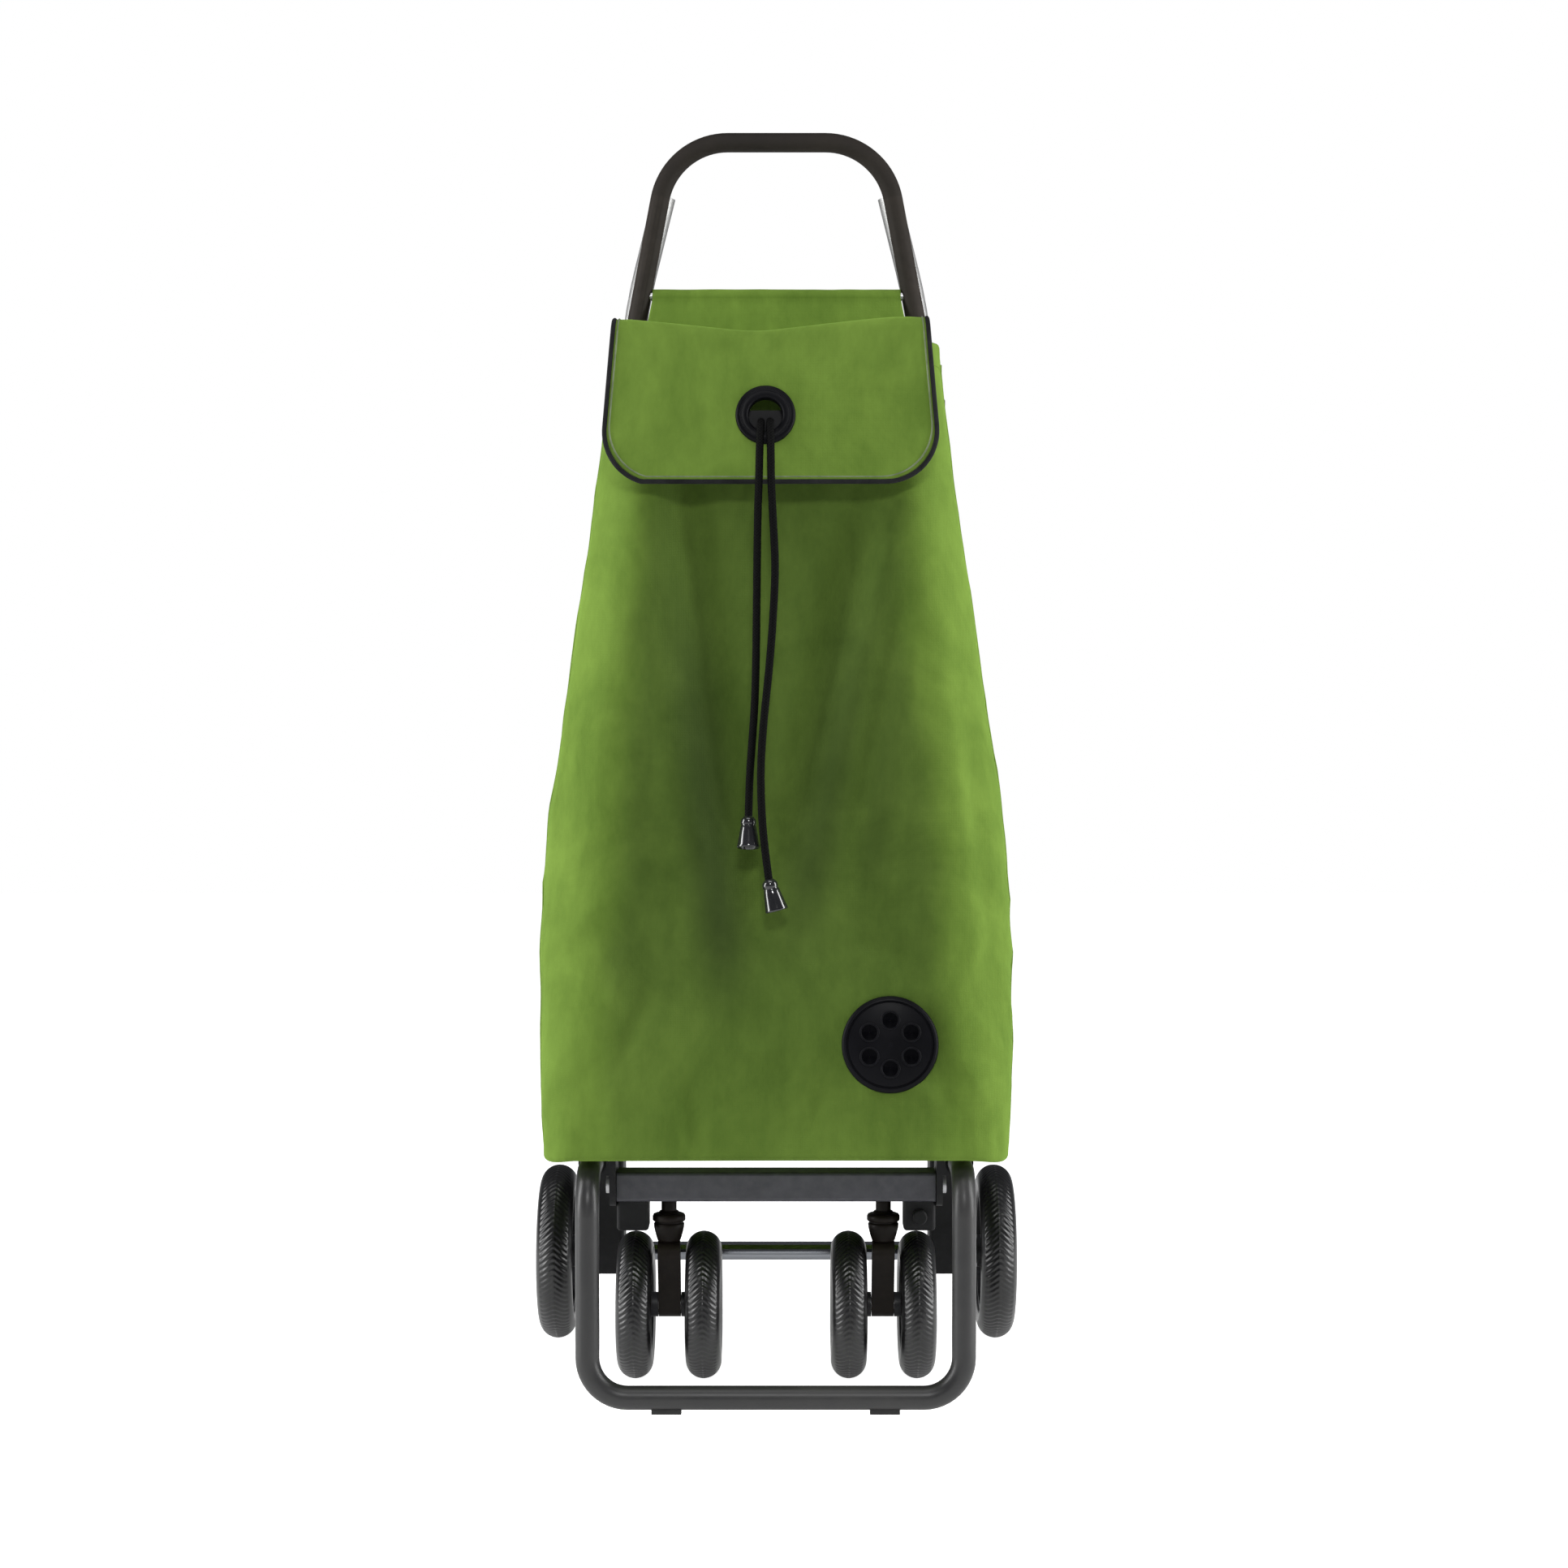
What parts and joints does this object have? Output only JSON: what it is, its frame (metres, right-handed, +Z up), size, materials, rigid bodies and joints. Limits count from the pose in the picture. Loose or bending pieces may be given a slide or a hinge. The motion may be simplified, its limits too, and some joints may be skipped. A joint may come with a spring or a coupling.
{
  "type": "shopping trolley",
  "caption": "Wheeled shopping trolley: a tapered fabric bag with a flap and drawstring, on a tube frame with twin-wheel casters and two large rear wheels.",
  "frame": {"origin": "on the floor under the middle of the trolley", "axes": "+Z up, -Y out of the bag's front, +X to the right seen from the front"},
  "size_m": [0.412, 0.406, 1.045],
  "materials": {
    "frame_paint": "semi-gloss powder coat",
    "axle_paint": "gloss black",
    "upright_metal": "satin anodised",
    "handle_plastic": "satin, near black",
    "moulding": "fine-grained dark grey",
    "yoke_plastic": "satin, brown black",
    "steel": "zinc plated",
    "tyre": "moulded tread",
    "rim_plastic": "satin",
    "pad_rubber": "matt",
    "bag_fabric": "suede-like microfibre",
    "webbing": "black tape",
    "board": "grained sheet",
    "trim_plastic": "satin black",
    "cord": "braided",
    "bell_plastic": "gloss"
  },
  "bodies": {
    "root": {"axle_spacers": "moulding", "back_braces": "axle_paint", "back_panel": "bag_fabric", "bag_floor": "bag_fabric", "bar_pivot_pins": "steel", "base_board": "board", "bracket_bolts": "steel", "clamp_screws": "steel", "cord_end_left": "bell_plastic", "cord_end_right": "bell_plastic", "cord_left": "cord", "cord_lock": "trim_plastic", "cord_right": "cord", "foot_frame": "frame_paint", "foot_pads": "pad_rubber", "front_panel": "bag_fabric", "handle_clamps": "moulding", "handle_loop": "handle_plastic", "hanger_rod": "steel", "hanger_sleeve": "bag_fabric", "hinge_brackets": "frame_paint", "left_axle_bracket": "moulding", "left_gusset": "bag_fabric", "left_upright": "upright_metal", "mouth_hem": "bag_fabric", "rail_loops": "webbing", "rear_axle": "axle_paint", "right_axle_bracket": "moulding", "right_gusset": "bag_fabric", "right_upright": "upright_metal", "upright_plugs": "moulding", "vent_disc": "trim_plastic", "vent_ring": "trim_plastic"},
    "caster_bar": {"caster_bar": "moulding", "bar_end_blocks": "moulding"},
    "latch_knob": {"latch_knob": "moulding"},
    "left_caster": {"left_caster_stem": "yoke_plastic", "left_caster_yoke": "yoke_plastic", "left_caster_axle": "steel"},
    "left_caster_outer_wheel": {"left_caster_outer_tyre": "tyre", "left_caster_outer_rim": "rim_plastic"},
    "left_caster_inner_wheel": {"left_caster_inner_tyre": "tyre", "left_caster_inner_rim": "rim_plastic"},
    "left_rear_wheel": {"left_rear_tyre": "tyre", "left_rear_rim": "rim_plastic", "left_hub_cap": "rim_plastic"},
    "right_caster": {"right_caster_stem": "yoke_plastic", "right_caster_yoke": "yoke_plastic", "right_caster_axle": "steel"},
    "right_caster_outer_wheel": {"right_caster_outer_tyre": "tyre", "right_caster_outer_rim": "rim_plastic"},
    "right_caster_inner_wheel": {"right_caster_inner_tyre": "tyre", "right_caster_inner_rim": "rim_plastic"},
    "right_rear_wheel": {"right_rear_tyre": "tyre", "right_rear_rim": "rim_plastic", "right_hub_cap": "rim_plastic"},
    "flap": {"flap_panel": "bag_fabric", "flap_piping": "webbing", "eyelet": "trim_plastic"}
  },
  "joints": [
    {"name": "flap_lift", "type": "hinge", "parent": "root", "child": "flap", "pos_m": [-0.004, 0.09144, 0.8625], "axis": [-1, 0, 0], "range_deg": [0, 90], "deforming": ["cord_left", "cord_right"]},
    {"name": "bar_fold", "type": "hinge", "parent": "root", "child": "caster_bar", "pos_m": [0, -0.047, 0.162], "axis": [1, 0, 0], "range_deg": [0, 65]},
    {"name": "latch_pull", "type": "slide", "parent": "caster_bar", "child": "latch_knob", "axis": [0, -1, 0], "range_m": [0, 0.005], "stiffness_N_per_m": 300, "springref_m": -0.002},
    {"name": "left_swivel", "type": "hinge", "parent": "caster_bar", "child": "left_caster", "pos_m": [-0.0875, -0.047, 0.13], "axis": [0, 0, 1], "continuous": true},
    {"name": "left_outer_spin", "type": "hinge", "parent": "left_caster", "child": "left_caster_outer_wheel", "pos_m": [-0.1155, -0.029, 0.06], "axis": [1, 0, 0], "continuous": true},
    {"name": "left_inner_spin", "type": "hinge", "parent": "left_caster", "child": "left_caster_inner_wheel", "pos_m": [-0.0595, -0.029, 0.06], "axis": [1, 0, 0], "continuous": true},
    {"name": "left_rear_spin", "type": "hinge", "parent": "root", "child": "left_rear_wheel", "pos_m": [-0.1905, 0.128, 0.075], "axis": [1, 0, 0], "continuous": true},
    {"name": "right_swivel", "type": "hinge", "parent": "caster_bar", "child": "right_caster", "pos_m": [0.0875, -0.047, 0.13], "axis": [0, 0, 1], "continuous": true},
    {"name": "right_outer_spin", "type": "hinge", "parent": "right_caster", "child": "right_caster_outer_wheel", "pos_m": [0.1155, -0.029, 0.06], "axis": [1, 0, 0], "continuous": true},
    {"name": "right_inner_spin", "type": "hinge", "parent": "right_caster", "child": "right_caster_inner_wheel", "pos_m": [0.0595, -0.029, 0.06], "axis": [1, 0, 0], "continuous": true},
    {"name": "right_rear_spin", "type": "hinge", "parent": "root", "child": "right_rear_wheel", "pos_m": [0.1905, 0.128, 0.075], "axis": [1, 0, 0], "continuous": true}
  ]
}
